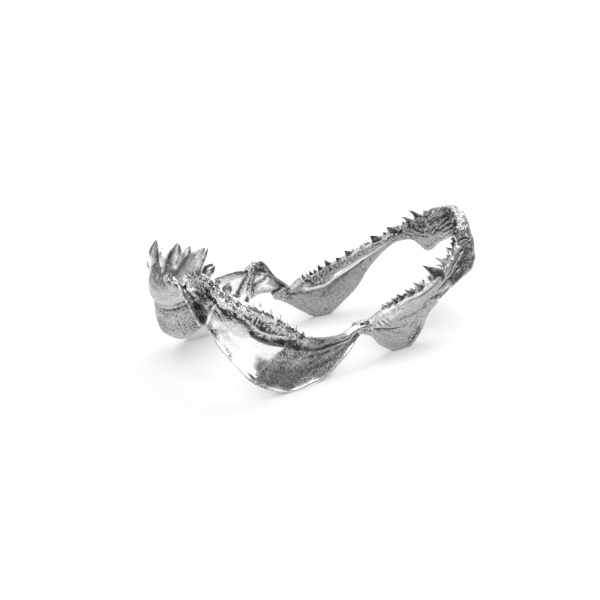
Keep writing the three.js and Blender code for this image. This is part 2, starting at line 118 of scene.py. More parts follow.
# Teeth of a half: station, rise along the plate, reach back to the joint, lean inward, width
LOWER_LEFT_TEETH = [
    (1.81, 3.2, 1.9, 2.5, 2.5), (2.4, 2.2, 1.0, 1.6, 1.8), (2.93, 4.1, 1.9, 3.0, 2.5),
    (3.4, 2.0, 1.0, 1.4, 1.6), (3.94, 3.4, 1.6, 2.5, 2.2), (4.35, 1.6, 0.9, 1.2, 1.4),
    (4.71, 2.3, 1.4, 1.4, 1.7), (5.34, 2.0, 1.5, 1.2, 1.5), (5.74, 2.2, 1.6, 1.3, 1.4),
    (6.12, 2.1, 1.4, 1.1, 1.3), (6.45, 1.8, 1.4, 1.0, 1.3), (6.85, 1.3, 1.2, 0.7, 1.2),
]
LOWER_RIGHT_TEETH = [
    (1.5, 2.6, 1.2, -1.2, 2.6), (2.4, 1.6, 1.4, -1.8, 2.4), (3.1, 1.5, 1.4, -1.8, 2.3),
    (3.7, 1.3, 1.2, -1.6, 1.9), (4.3, 1.1, 1.1, -1.5, 1.7), (4.8, 1.0, 1.0, -1.4, 1.5),
    (5.3, 0.9, 1.0, -1.2, 1.4), (5.8, 0.8, 0.9, -1.1, 1.3), (6.4, 0.8, 0.8, -1.0, 1.2),
]
UPPER_LEFT_TEETH = [
    (2.9, 2.6, 1.6, 0.9, 2.4), (3.8, 2.8, 1.4, 0.7, 3.2), (4.7, 3.6, 1.7, 0.9, 3.0),
    (5.75, 4.9, 3.4, 1.4, 5.6), (6.75, 4.1, 1.6, 1.3, 3.4), (7.5, 3.9, 1.9, 1.3, 3.4),
    (8.25, 3.2, 1.7, 1.0, 3.0), (9.0, 2.7, 1.6, 0.8, 2.7), (9.65, 2.2, 1.5, 0.6, 2.3),
    (10.3, 1.8, 1.3, 0.4, 2.0),
]
UPPER_RIGHT_TEETH = [
    (2.1, 3.0, 3.0, -0.4, 3.0), (2.6, 1.9, 2.8, -0.2, 2.8), (3.75, 3.8, 1.4, -0.8, 3.4),
    (4.65, 3.8, 1.4, -0.8, 3.6), (5.5, 2.2, 1.2, 0.2, 2.4), (6.5, 3.2, 1.2, 0.6, 2.8),
    (7.2, 2.2, 1.0, 0.8, 2.2), (7.8, 3.2, 0.8, 1.1, 2.4), (8.5, 3.0, 0.9, 1.0, 2.3),
    (9.1, 2.2, 0.9, 0.8, 1.9), (9.6, 2.2, 1.0, 0.6, 1.9), (10.1, 1.8, 0.9, 0.5, 1.6),
    (10.6, 1.5, 0.8, 0.4, 1.4),
]
# Front teeth of the lower jaw: root, tip, width, the way the broad face looks
FRONT_TEETH = [
    ((-45.5, 6.6, 28.4), (-44.3, 7.6, 34.2), 3.5, (-0.8, -0.6, 0.1)),
    ((-46.0, 1.6, 28.4), (-45.6, 2.4, 33.8), 1.5, (-0.8, -0.5, 0.1)),
    ((-45.6, -1.4, 28.8), (-43.2, -1.1, 35.0), 4.8, (-0.5, -0.9, 0.2)),
    ((-44.0, -3.6, 29.4), (-41.0, -2.7, 34.2), 3.0, (-0.6, -0.8, 0.3)),
    ((-44.6, -6.4, 29.4), (-40.4, -8.4, 34.9), 4.4, (-0.6, -0.8, 0.5)),
    ((-43.4, -8.4, 28.6), (-40.0, -9.2, 34.9), 2.4, (-0.7, -0.8, 0.3)),
    ((-42.4, -9.0, 28.0), (-38.2, -8.4, 30.6), 3.2, (-0.5, -0.8, 0.5)),
]


# ---- the jaw as bent plates, in millimetres ---------------------------------------------------

def unit(v):
    return v / np.maximum(np.linalg.norm(v, axis=-1, keepdims=True), 1e-9)


def spline(points, t):
    """Centripetal Catmull-Rom through points at the numbers t: (place, direction)."""
    ends = [2 * points[0] - points[1]], [2 * points[-1] - points[-2]]
    p = np.vstack([ends[0], points, ends[1]])
    i = np.clip(np.floor(t).astype(int), 0, len(points) - 2)
    w = (t - i)[:, None]
    p0, p1, p2, p3 = (p[i + k] for k in range(4))
    d0, d1, d2 = (np.linalg.norm(b - a, axis=1)[:, None] ** 0.5
                  for a, b in ((p0, p1), (p1, p2), (p2, p3)))
    d1 = np.where(d1 < 1e-4, 1.0, d1)
    d0 = np.where(d0 < 1e-4, d1, d0)
    d2 = np.where(d2 < 1e-4, d1, d2)
    m1 = ((p1 - p0) / d0 - (p2 - p0) / (d0 + d1) + (p2 - p1) / d1) * d1
    m2 = ((p2 - p1) / d1 - (p3 - p1) / (d1 + d2) + (p3 - p2) / d2) * d1
    a = -3 * p1 + 3 * p2 - 2 * m1 - m2
    b = 2 * p1 - 2 * p2 + m1 + m2
    return p1 + m1 * w + a * w ** 2 + b * w ** 3, m1 + 2 * a * w + 3 * b * w ** 2


def smooth(x, table):
    """A smooth line through the (x, y) rows of table."""
    xs, ys = np.array(table, float).T
    slopes = np.gradient(ys, xs)
    i = np.clip(np.searchsorted(xs, x, side="right") - 1, 0, len(xs) - 2)
    step = xs[i + 1] - xs[i]
    w = np.clip((x - xs[i]) / step, 0, 1)
    rise = (3 - 2 * w) * w * w
    return (ys[i] * (1 - rise) + ys[i + 1] * rise
            + step * (slopes[i] * w * (1 - w) ** 2 - slopes[i + 1] * w * w * (1 - w)))


class Jaw:
    """One bent plate from its left end round the front to its right end. A place on it is a station,
    counted from the front and negative on the left, and a height from keel 0 to crest 1."""

    def __init__(self, left, front, right, turn):
        def mirror(station):
            crest, keel, form = station
            return (crest[0], -crest[1], crest[2]), (keel[0], -keel[1], keel[2]), form

        stations = [mirror(s) for s in reversed(left)] + [front] + right
        self.curves = [np.array([s[k] for s in stations], float) for k in range(3)]
        self.first = -len(left)
        self.last = len(right)
        self.turn = turn

    def frame(self, station):
        """Keel, rise to the crest, the ways along and outward, and the form at each station."""
        t = np.clip(np.atleast_1d(station).astype(float), self.first, self.last) - self.first
        (crest, dc), (keel, dk), (form, _) = (spline(c, t) for c in self.curves)
        along = unit(unit(dc) + unit(dk))
        rise = crest - keel
        out = unit(np.cross(rise, along)) * self.turn
        return {"keel": keel, "rise": rise, "along": along, "out": out, "form": form}

    def place(self, station, height, offset):
        """Points at a station and height, offset outward in millimetres."""
        f = self.frame(station)
        height = np.atleast_1d(height)[:, None]
        bow = f["form"][:, 1:2] * 4 * height * (1 - height)
        return f["keel"] + f["rise"] * height + f["out"] * (bow + np.atleast_1d(offset)[:, None])


LEFT, RIGHT = -1, 1

lower = Jaw(LOWER_LEFT, LOWER_FRONT, LOWER_RIGHT, 1)
upper = Jaw(UPPER_LEFT, UPPER_FRONT, UPPER_RIGHT, -1)
chin = Jaw(CHIN_LEFT, CHIN_FRONT, CHIN_RIGHT, 1)

# Faces of a plate: (height, distance from its middle in thicknesses). The dental band stands out near
# the crest.
LOWER_OUTER = [(0, .30), (.10, .24), (.33, .10), (.55, .26), (.66, .34),
               (.71, .22), (.76, .28), (.82, .56), (.90, .60), (1, .40)]
LOWER_INNER = [(0, .22), (.33, .34), (.62, .26), (.74, .32), (.88, .44), (1, .30)]
UPPER_OUTER = [(0, .26), (.20, .20), (.46, .18), (.56, .22), (.74, .36), (.86, .46), (1, .34)]
UPPER_INNER = [(0, .22), (.20, .20), (.46, .22), (.60, .24), (.70, .40), (.86, .50), (1, .30)]
CHIN_OUTER = [(0, .34), (.20, .44), (.50, .40), (.55, .40), (.59, .48), (.70, .48), (.82, .38), (1, .12)]
CHIN_INNER = [(0, .34), (.20, .36), (.52, .36), (.80, .40), (1, .34)]
RIM = 0.26              # radius of a plate's rims, in thicknesses
RIM_POINTS = 6
FACE_POINTS = 56        # points across a face, with both ends
PLATE_STEPS = 20        # rings between two stations
CHIN_STEPS = 30
SURFACE = 0.35          # where the line of a mark lies, in thicknesses from the middle
BAND_FROM = 0.5         # height above which a station's band thickens the outer face
MEASURED_AT = 0.7       # height at which the length along a jaw is measured


class Skin:
    """Closed mesh pieces gathered for one object, with a number for each point."""

    def __init__(self):
        self.points, self.faces, self.tags, self.count = [], [], [], 0

    def add(self, points, faces, tag=0.0):
        self.points.append(points)
        self.faces.extend(tuple(self.count + i for i in face) for face in faces)
        self.tags.append(np.broadcast_to(np.asarray(tag, float), (len(points),)))
        self.count += len(points)

    def mesh(self, name):
        mesh = bpy.data.meshes.new(name)
        mesh.from_pydata(np.concatenate(self.points).tolist(), [], self.faces)
        mesh.update()
        return mesh


def tube_faces(rings, count):
    """Faces over rings of count points each, with a fan at both ends; two middle points come last."""
    faces = []
    for ring in range(rings - 1):
        for i in range(count):
            a, b = ring * count + i, ring * count + (i + 1) % count
            faces.append((a, b, b + count, a + count))
    start, end, last = rings * count, rings * count + 1, (rings - 1) * count
    for i in range(count):
        faces.append((start, (i + 1) % count, i))
        faces.append((end, last + i, last + (i + 1) % count))
    return faces


def volume(points, faces):
    """Six times the volume inside the faces, negative where they are turned inside out."""
    total = 0.0
    for face in faces:
        for k in range(1, len(face) - 1):
            total += np.dot(points[face[0]], np.cross(points[face[k]], points[face[k + 1]]))
    return total


def closed(rings, end=None):
    """Points and outward faces of a solid through equal rings, shaped (rings, count, 3)."""
    end = rings[-1].mean(0) if end is None else end
    points = np.vstack([rings.reshape(-1, 3), rings[0].mean(0), end])
    faces = tube_faces(len(rings), rings.shape[1])
    if volume(points, faces) < 0:
        faces = [face[::-1] for face in faces]
    return points, faces


def distance_to(points, path):
    """Distance in millimetres from each point to a line of points."""
    nearest = np.full(points.shape[:-1], 1e9)
    for a, b in zip(path[:-1], path[1:]):
        along = b - a
        share = np.clip((points - a) @ along / max(along @ along, 1e-9), 0, 1)
        nearest = np.minimum(nearest, np.linalg.norm(points - a - share[..., None] * along, axis=-1))
    return nearest


def reach(points, jaw, face, path, radius):
    """How strongly each point feels a mark on one face: 1 on its line, 0 beyond its radius."""
    stations, heights = np.array(path, float).T
    thick = jaw.frame(stations)["form"][:, 0]
    line = jaw.place(stations, heights, face * SURFACE * thick)
    if len(line) == 1:
        line = np.vstack([line, line])
    share = np.clip(1 - distance_to(points, line) / radius, 0, 1)
    return share * share * (3 - 2 * share)


def plate(jaw, outer, inner, per_station, marks, paint, finish):
    """A plate's skin with rounded rims: rings of heights up the outer face and down the inner one.
    Marks push a face out. Paint sets its satin, its stain and painted shade, and its roughness, over a
    finish for each face.
    Returns the rings and for each point its paint and its place: millimetres along and up the jaw."""
    count = (jaw.last - jaw.first) * per_station + 1
    stations = np.linspace(jaw.first, jaw.last, count)
    f = jaw.frame(stations)
    thick, bow, band = f["form"].T
    length = np.linalg.norm(f["rise"], axis=1)
    middles = f["keel"] + f["rise"] * MEASURED_AT
    along = np.concatenate([[0], np.cumsum(np.linalg.norm(np.diff(middles, axis=0), axis=1))])
    rim = np.clip(RIM * thick / length, 0.01, 0.2)
    arc = 1 - np.cos(np.linspace(0, math.pi / 2, RIM_POINTS))
    flat = np.linspace(0, 1, FACE_POINTS)[1:-1]
    heights = np.stack([np.concatenate([r * arc, r + (1 - 2 * r) * flat, 1 - r * arc[::-1]])
                        for r in rim])
    inset = np.clip(1 - np.minimum(heights, 1 - heights) / rim[:, None], 0, 1)
    shrink = np.sqrt(1 - inset ** 2)
    band_here = np.where(heights > BAND_FROM, band[:, None], 0)
    faces = [(smooth(heights, outer) + band_here) * thick[:, None],
             -smooth(heights, inner) * thick[:, None]]
    middle = (faces[0] + faces[1]) / 2
    rings, colours = [], []
    for sign, face, plain in zip((1, -1), faces, finish):
        offset = middle + (face - middle) * shrink
        bowed = bow[:, None] * 4 * heights * (1 - heights)
        base = (f["keel"][:, None] + f["rise"][:, None] * heights[..., None]
                + f["out"][:, None] * (bowed + offset)[..., None])
        push = sum((height * reach(base, jaw, sign, path, radius)
                    for side, path, radius, height in marks if side == sign), np.zeros(heights.shape))
        colour = np.broadcast_to(np.array(plain, float), (*heights.shape, 3))
        for side, path, radius, *to in paint:
            if side == sign:
                share = reach(base, jaw, sign, path, radius)[..., None]
                colour = colour * (1 - share) + np.array(to) * share
        base = base + f["out"][:, None] * (sign * push * shrink)[..., None]
        rings.append(base[:, ::sign])
        place = np.stack([np.broadcast_to(along[:, None], heights.shape), heights * length[:, None]],
                         axis=-1)
        colours.append(np.concatenate([colour, place], -1)[:, ::sign])
    return np.concatenate(rings, axis=1), np.concatenate(colours, axis=1)


# Ring sections of a tooth: (rise, width), the root below the surface
LEAF = [(-.42, .80), (-.15, .88), (.02, .95), (.16, 1.0), (.30, .99), (.46, .88), (.62, .70),
        (.77, .48), (.89, .27), (.97, .09)]
SPIKE = [(-.30, 1.0), (-.08, 1.0), (.04, .98), (.16, .84), (.30, .67), (.46, .50), (.62, .34),
         (.77, .20), (.89, .10), (.97, .03)]
# Points of a ring: across and outward, with a sharp edge at each side
TOOTH_LENS = [(1, 0), (.62, .5), (0, 1), (-.62, .5), (-1, 0), (-.62, -.42), (0, -.66), (.62, -.42)]
TOOTH_EDGE = math.radians(48)       # a fold sharper than this is an edge
TOOTH_TAPER = 0.8                   # how a tooth thins toward its tip, against its width


def tooth(root, tip, width, facing, bend=0.12, depth=0.30, shape=LEAF):
    """A tooth with two sharp edges, a full outer face along facing and one tip."""
    axis = tip - root
    wide = unit(np.cross(facing, axis))
    front = unit(np.cross(axis, wide))
    rings = []
    for rise, size in shape:
        lean = bend * np.linalg.norm(axis) * math.sin(math.pi * min(max(rise, 0), 1))
        middle = root + axis * rise + front * lean
        rings.append([middle + wide * x * size * width / 2
                      + front * y * depth * size ** TOOTH_TAPER * width for x, y in TOOTH_LENS])
    return closed(np.array(rings), end=tip)


def jaw_tooth(jaw, station, height, offset, up, back, inward, width, **form):
    """A tooth on a jaw: its tip lies up, back toward the joint and inward from its root."""
    f = jaw.frame(station)
    root = jaw.place(station, height, offset)[0]
    out, rise = f["out"][0], unit(f["rise"])[0]
    along = f["along"][0] * math.copysign(1, station)
    return tooth(root, root + rise * up + along * back - out * inward, width, out, **form)


# Painted shade on the two halves of a tooth, seen from outside with the tip up: left, right
LOWER_SHADES = [(.1, .9), (.5, .8), (.9, .2), (.8, .8), (.2, .7)]
FRONT_SHADES = [(0, 1.0), (.1, .3), (1.0, .1), (.6, .5), (.7, .5), (.1, .9), (1.4, .6)]
UPPER_SHADES = [(.9, .9), (.8, .9), (.9, .5), (1.0, .9), (.1, .1), (.9, 1.0), (.9, .8)]


def build_teeth():
    """The teeth, with painted shade of their faces as the number of each point. The edges stay bright.
    """
    skin = Skin()

    def add(solid, left, right):
        points, faces = solid
        shades = [max(left if x > 0 else right if x < 0 else (left + right) / 2, 0) * (abs(x) < 1)
                  for x, _ in TOOTH_LENS]
        skin.add(points, faces, np.array(shades * len(LEAF) + [0, 0]))

    for jaw, side, teeth, height, offset, shape, shades in (
            (lower, LEFT, LOWER_LEFT_TEETH, .95, 0, LEAF, LOWER_SHADES),
            (lower, RIGHT, LOWER_RIGHT_TEETH, .84, .45, LEAF, LOWER_SHADES),
            (upper, LEFT, UPPER_LEFT_TEETH, .95, .05, SPIKE, UPPER_SHADES),
            (upper, RIGHT, UPPER_RIGHT_TEETH, .95, .05, SPIKE, UPPER_SHADES)):
        for i, (station, up, back, inward, width) in enumerate(teeth):
            thick = jaw.frame(side * station)["form"][0, 0]
            form = jaw_tooth(jaw, side * station, height, offset * thick, up, back, inward, width,
                             shape=shape)
            add(form, *shades[i % len(shades)])
    for (root, tip, width, facing), shade in zip(FRONT_TEETH, FRONT_SHADES):
        add(tooth(np.array(root), np.array(tip), width, np.array(facing), bend=.1, depth=.26), *shade)
    return skin


# Marks: face (outer 1, inner -1), path of (station, height), radius, how far they stand out. First the
# facet beside the chin and its edge, then the lip over the blade, its filled end, the rim and the fold.
LOWER_MARKS = [
    (1, [(-1.2, .58), (-1.65, .62), (-1.95, .74)], 2.3, -1.1),
    (1, [(-1.45, .16), (-1.9, .43), (-2.2, .58), (-2.6, .78), (-2.95, .9)], .9, .9),
    (1, [(-2.3, .40), (-3.0, .62), (-3.9, .66)], 2.4, .8),
    (1, [(-2.1, .24), (-2.6, .44)], 1.0, -.3),
    (1, [(-3.2, .95), (-3.62, .83), (-4.12, .74), (-4.75, .70), (-5.67, .73), (-6.4, .81)], .8, .6),
    (1, [(-4.2, .64), (-5.2, .63), (-6.0, .70)], 1.2, -.7),
    (1, [(-6.9, .73), (-7.8, .74), (-8.6, .74), (-9.2, .72)], 1.9, .65),
    (1, [(-7.0, .66), (-9.2, .66)], 1.5, .4),
    (1, [(-1.5, .05), (-2.4, .06), (-4, .03), (-6, .02), (-8, .02), (-9.6, .05)], .9, .4),
    (-1, [(8.1, .55), (8.6, .78), (8.9, .95)], 1.2, -.4),
    (-1, [(8.9, .45), (9.2, .8), (9.35, 1.0)], .9, .5),
    (-1, [(9.5, .45), (10.3, .5)], 1.6, -.4),
    (-1, [(9.4, .84), (10.6, .78), (11.4, .85)], .7, .4),
]
# Paint: face, path, radius, then satin, stain and roughness; the stain also carries painted shade and
# dark reflections. Later paint lies over earlier: the polished blade, the dental band, the dark half of
# the blade (painted dark reflection, speckled with oxide), the facet (painted shade), the rim, the far
# plate and its fold (painted dark reflections and a painted highlight).
LOWER_PAINT = [
    (1, [(-2.4, .25), (-3.2, .35), (-4.0, .45), (-5.0, .55), (-5.8, .66)], 5.0, .30, 0, .02),
    (1, [(-1.5, .90), (-4.0, .84), (-6.7, .92)], 3.0, .25, 1.35, .95),
    (1, [(-7.2, .90), (-8.2, .92), (-9.0, .95)], 2.6, .85, .75, .12),
    (1, [(-9.2, .8), (-9.8, .5)], 1.6, .3, .3, .2),
    # The dark half of the blade: painted dark reflection of the dim studio, speckled with oxide
    (1, [(-4.75, .02), (-5.45, .25), (-6.4, .55), (-7.0, .76), (-8.4, .75)], 4.2, .85, .75, .12),
    (1, [(-4.15, .02), (-4.95, .28), (-5.95, .56), (-6.6, .80)], 1.7, .85, .8, .12),
    (1, [(-5.8, .03), (-6.8, .30), (-7.6, .55)], 5.5, .85, .65, .12),
    (1, [(-7.6, .1), (-8.6, .3)], 4.5, .85, .7, .12),
    (1, [(-2.04, .55), (-2.88, .67), (-3.67, .69), (-4.12, .68)], 2.8, .75, .45, .25),
    # The facet: painted shade on a face turned away from the light, speckled
    (1, [(-1.05, .22), (-1.25, .40), (-1.5, .58), (-1.85, .76)], 3.4, .45, 1.8, .5),
    (1, [(-1.0, .9), (-1.5, .85), (-1.9, .86)], 1.4, .4, 1.0, .8),
    (1, [(-4.3, .63), (-4.8, .63), (-5.3, .67), (-6.1, .73), (-6.6, .80)], 1.4, .3, 1.1, .3),
    (1, [(-1.5, .2), (-1.9, .43), (-2.2, .58), (-2.6, .78)], .6, 0, 0, .2),
    (1, [(-1.7, .18), (-1.95, .14), (-2.15, .20)], 1.3, .4, 2.2, .5),
    (1, [(-2.3, .30), (-2.6, .22), (-2.9, .11)], .9, .3, 2.0, .3),
    (1, [(-1.9, .07), (-2.6, .055), (-3.6, .03), (-4.6, .01)], .45, .3, 1.5, .4),
    (1, [(-4.8, .02), (-5.8, .02), (-7.2, .025), (-8.8, .04), (-9.6, .10)], .9, .05, 0, .3),
    (-1, [(4.0, 1.0), (7.8, 1.0)], 1.2, .05, 0, 0),
    # The dark bands of the far fold, here and in the lines below that lay stain, are painted dark
    # reflection with oxide specks
    (-1, [(8.0, .50), (8.6, .78), (9.0, .97)], 1.9, .5, 1.2, .1),
    (-1, [(4.0, .6), (7.4, .6)], 3.0, .6, 0, 0),
    (-1, [(9.4, 1.0), (11.4, .98)], 1.7, .4, .9, .15),
    (-1, [(9.6, .43), (10.3, .47)], 1.4, .5, .6, .1),
    (-1, [(9.3, .92), (10.4, .95), (11.5, .9)], 3.0, .4, 1.3, .1),
    (-1, [(9.3, .25), (9.0, .6), (9.2, .85)], 1.9, .5, 1.3, .1),
    # Painted highlight: a clean polished strip along the fold
    (-1, [(10.1, .60), (11.3, .58)], .9, .05, 0, 0),
    (-1, [(9.6, .2), (11.4, .3)], 2.0, .4, .8, .1),
]
# Both sides are finished alike outside, the painted shade and dark reflection of the near side too
LOWER_PAINT += [(face, [(-station, height) for station, height in path], *rest)
                for face, path, *rest in LOWER_PAINT if face == 1]
# The crease of the blade, grooves at the front, the ledge under the teeth, and the front's hollow
UPPER_MARKS = [
    (1, [(-9.8, .80), (-8.5, .70), (-7.3, .52), (-6.0, .14)], .9, .5),
    (1, [(-9.6, .68), (-8.3, .58), (-7.2, .40)], 1.3, -.5),
    (1, [(-5.2, .1), (-6.2, .3), (-7.6, .62)], 1.2, -.3),
    (1, [(-2.8, .52), (-3.9, .50), (-4.9, .42)], .5, .5),
    (1, [(-2.8, .68), (-4.0, .64), (-5.0, .54)], .5, .5),
    (1, [(-2.8, .34), (-3.9, .34), (-4.8, .28)], .5, .5),
    (1, [(-9.6, .45), (-9.0, .2), (-8.3, .02)], .6, -.3),
    (-1, [(10.6, .70), (8.9, .72), (7.3, .70), (6.0, .68), (4.7, .62), (3.4, .56)], 1.3, .5),
    (-1, [(9.0, .52), (6.0, .48), (4.0, .36)], 2.4, -.3),
    (-1, [(2.8, .72), (1.6, .76), (.6, .70), (-.6, .70), (-1.8, .75), (-2.6, .86)], 2.4, -1.2),
    (-1, [(2.2, .32), (1.0, .24), (-.2, .32)], 2.2, .6),
    (-1, [(1.9, .05), (1.0, .03), (.2, .1)], .8, .4),
    (-1, [(2.4, .98), (0, .98), (-2.2, .98)], .8, .5),
    (-1, [(1.2, .62), (.8, .4)], .6, .5),
    (-1, [(.1, .60), (-.1, .4)], .6, .5),
    (-1, [(-1.4, .60), (-1.6, .3)], .7, .5),
    (1, [(-.5, .3), (-1.6, .15), (-2.6, .1)], 1.6, .6),
    (1, [(1.6, .8), (-2.4, .8)], .8, .6),
    (1, [(1.8, .5), (-2.2, .5)], .8, -.5),
]
UPPER_PAINT = [
    (1, [(-3.0, .92), (-10.8, .92)], 1.6, .35, .30, .6),
    (-1, [(2.4, .90), (10.8, .92)], 2.4, .35, .95, .9),
    (1, [(-8.2, .14), (-8.9, .12)], 2.0, .6, 1.0, .3),
    (1, [(-6.83, .74)], 1.8, .6, .7, .2),
    (1, [(-5.2, .1), (-6.0, .12)], 1.4, .1, 0, 0),
    (1, [(-9.6, .9), (-10.6, .8), (-12, .5)], 1.8, .1, .3, .4),
    (1, [(-3.4, .55), (-5.0, .42)], 2.2, .1, .35, .5),
    (1, [(3.4, .8), (0, .8), (-2.9, .7)], 5.0, .40, .85, .75),
    (1, [(3.4, .35), (0, .3), (-2.6, .35)], 5.0, .55, .45, .35),
    (1, [(-3.1, .45), (-3.8, .25), (-4.8, .22)], 2.6, .45, 1.3, .5),
    (1, [(-2.8, .94), (1.5, .94)], 2.4, .45, 2.0, 1.0),
    (1, [(-1.6, .5), (-2.6, .4), (-3.2, .3)], 3.0, .45, 1.2, .5),
    (-1, [(10.8, .72), (8.9, .74), (7.3, .72), (6.0, .68), (4.7, .62), (3.6, .56)], 1.5, .05, 0, .1),
    # The front's hollow: oxide, with the shade of its depth painted in too
    (-1, [(3.4, .75), (1.0, .68), (-1.0, .7), (-3.0, .7)], 7.0, .40, 1.25, 1.0),
    (-1, [(1.9, .2), (1.1, .12), (.3, .2)], 2.6, .6, .35, .4),
    # The hollow again: oxide and painted shade
    (-1, [(2.8, .72), (1.6, .76), (.6, .70), (-.6, .70), (-1.8, .75), (-2.6, .86)], 3.0, .5, 1.3, .7),
    (-1, [(2.4, .99), (0, .99)], .9, .1, .6, .9),
    (-1, [(-.2, .95), (-1.4, .92), (-2.8, .92)], 2.4, .45, 2.0, 1.0),
    (-1, [(1.9, .04), (1.0, .02), (.2, .1)], .8, .1, 0, .3),
]
# The brow, the crease under it, the folds between the teeth and the edge beside the facet
CHIN_MARKS = [
    (1, [(1.4, .74), (.6, .72), (0, .74), (-1.0, .78)], 2.6, .3),
    (1, [(.4, .60), (-.1, .565), (-.7, .56), (-1.2, .59), (-1.6, .70)], .9, -.2),
    (1, [(.3, .5), (.1, .1)], .7, .2),
    (1, [(-1.0, .5), (-1.1, .1)], .8, -.2),
    (1, [(-.4, .9), (-.7, .62)], 1.2, .3),
    (1, [(.5, .98), (.35, .80)], .7, -.6),
    (1, [(.1, .98), (-.1, .80)], .6, .5),
    (1, [(-.4, .98), (-.5, .80)], .6, -.5),
    (1, [(-.9, .98), (-1.1, .78)], .7, .4),
    (1, [(-1.97, .95), (-1.97, .05)], .7, .4),
]
CHIN_PAINT = [
    (1, [(1.0, .45), (-.2, .42), (-1.8, .44)], 2.2, .9, .5, .2),
    (1, [(.8, .15), (-1.8, .15)], 4.0, .85, .70, .2),
    (1, [(-1.0, .66), (-1.45, .70)], 1.4, .9, .50, .2),
    (1, [(.9, .85), (.7, .62)], 1.6, .9, .40, .2),
    (1, [(1.6, .97), (-2.0, .97)], 2.4, .45, .75, .8),
    (1, [(-1.97, .95), (-1.97, .05)], .6, .05, .1, .5),
]
# Finish under the paint: satin, stain and roughness of the outer and the inner face. A joint has one.
LOWER_FINISH = ((.10, 0, .05), (.08, 0, .05))
UPPER_FINISH = ((.80, .10, .1), (.85, .15, .1))
CHIN_FINISH = ((.75, .06, .1), (.4, .3, .5))
JOINT_FINISH = (.3, .8, .6)

# Rows of small teeth: jaw, sides, face, heights from and to, stations from and to, length, spacing
ROWS = [
    (lower, (LEFT,), 1, .76, .81, 1.5, 6.3, 1.1, .30),
    (lower, (LEFT,), 1, .84, .90, 1.4, 6.6, 1.4, .28),
    (lower, (LEFT,), 1, .93, .97, 1.3, 6.8, 1.3, .30),
    (lower, (RIGHT,), 1, .70, .78, 1.4, 8.0, 1.4, .20),
    (lower, (RIGHT,), 1, .80, .87, 1.4, 8.0, 1.4, .20),
    (upper, (LEFT, RIGHT), -1, .76, .84, 1.6, 10.6, 1.2, .26),
    (upper, (LEFT, RIGHT), -1, .88, .95, 1.6, 10.8, 1.4, .26),
    (upper, (LEFT, RIGHT), 1, .88, .95, 1.6, 10.8, .9, .28),
    (chin, (LEFT,), 1, .86, .95, .9, 2.0, 1.5, .22),
]
ROW_ROOT = 0.42         # where their roots lie, in thicknesses from the middle
ROW_BEND = 0.1
# Least and most of what differs from tooth to tooth: length as a share of the row's, place in stations,
# then reach back, lean inward and width as shares of the tooth's own length
ROW_LENGTH = (.75, 1.25)
ROW_SHIFT = (-.1, .1)
ROW_BACK = (-.1, .6)
ROW_INWARD = (0, .5)
ROW_WIDTH = (.8, 1.1)


def row_tooth(jaw, side, face, station, low, high, tall):
    """One small tooth of a row, with its root anywhere between two heights."""
    height = rng.uniform(low, high)
    offset = face * jaw.frame(side * station)["form"][0, 0] * ROW_ROOT
    length = tall * rng.uniform(*ROW_LENGTH)
    station = side * (station + rng.uniform(*ROW_SHIFT))
    back = rng.uniform(*ROW_BACK) * length
    inward = -face * rng.uniform(*ROW_INWARD) * length
    width = length * rng.uniform(*ROW_WIDTH)
    return jaw_tooth(jaw, station, height, offset, length, back, inward, width, bend=ROW_BEND)


def build_casting():
    """The pieces of the casting, and their paint: points, and for each its satin, stain and painted
    shade, roughness and place along and up the jaw."""
    skin, painted = Skin(), []
    for jaw, outer, inner, steps, marks, paint, finish in (
            (lower, LOWER_OUTER, LOWER_INNER, PLATE_STEPS, LOWER_MARKS, LOWER_PAINT, LOWER_FINISH),
            (upper, UPPER_OUTER, UPPER_INNER, PLATE_STEPS, UPPER_MARKS, UPPER_PAINT, UPPER_FINISH),
            (chin, CHIN_OUTER, CHIN_INNER, CHIN_STEPS, CHIN_MARKS, CHIN_PAINT, CHIN_FINISH)):
        rings, colours = plate(jaw, outer, inner, steps, marks, paint, finish)
        skin.add(*closed(rings))
        painted.append((rings.reshape(-1, 3), colours.reshape(-1, 5)))
    for side in (LEFT, RIGHT):
        points, faces = knuckle(side)
        skin.add(points, faces)
        painted.append((points, np.full((len(points), 5), (*JOINT_FINISH, 0, 0))))
    for jaw, sides, face, low, high, start, stop, tall, gap in ROWS:
        for side in sides:
            for station in np.arange(start, stop, gap):
                skin.add(*row_tooth(jaw, side, face, station, low, high, tall))
    return skin, [np.concatenate(part) for part in zip(*painted)]


JOINT_Y, JOINT_Z = 17.5, 9.4
JOINT_HALF = (3.0, 1.7, 1.8)        # half sizes along X, Y and Z
JOINT_RINGS, JOINT_POINTS = 25, 28
JOINT_FOLDS, JOINT_FOLD = 3, .10    # how many folds run along it, and their depth as a share
JOINT_TURN = 2                      # how far the folds turn from the middle to an end, in radians
JOINT_LUMPS, JOINT_LUMP = 7, .07    # radians of wave from the middle to an end, and depth as a share


def knuckle(side):
    """A joint: a lumpy roll along X with three folds."""
    middle = np.array([0, side * JOINT_Y, JOINT_Z])
    half_x, half_y, half_z = JOINT_HALF
    angles = np.linspace(0, 2 * math.pi, JOINT_POINTS, endpoint=False)
    rings = []
    for x in np.linspace(-1, 1, JOINT_RINGS)[1:-1]:
        radius = math.sqrt(1 - x * x) * (1 + JOINT_LUMP * math.sin(x * JOINT_LUMPS + side))
        fold = 1 + JOINT_FOLD * np.cos(JOINT_FOLDS * angles + x * JOINT_TURN)
        rings.append(np.stack([np.full(JOINT_POINTS, half_x * x),
                               half_y * radius * fold * np.cos(angles),
                               half_z * radius * fold * np.sin(angles)], 1) + middle)
    return closed(np.array(rings))


VOXEL = 0.17            # of the grid that joins the pieces
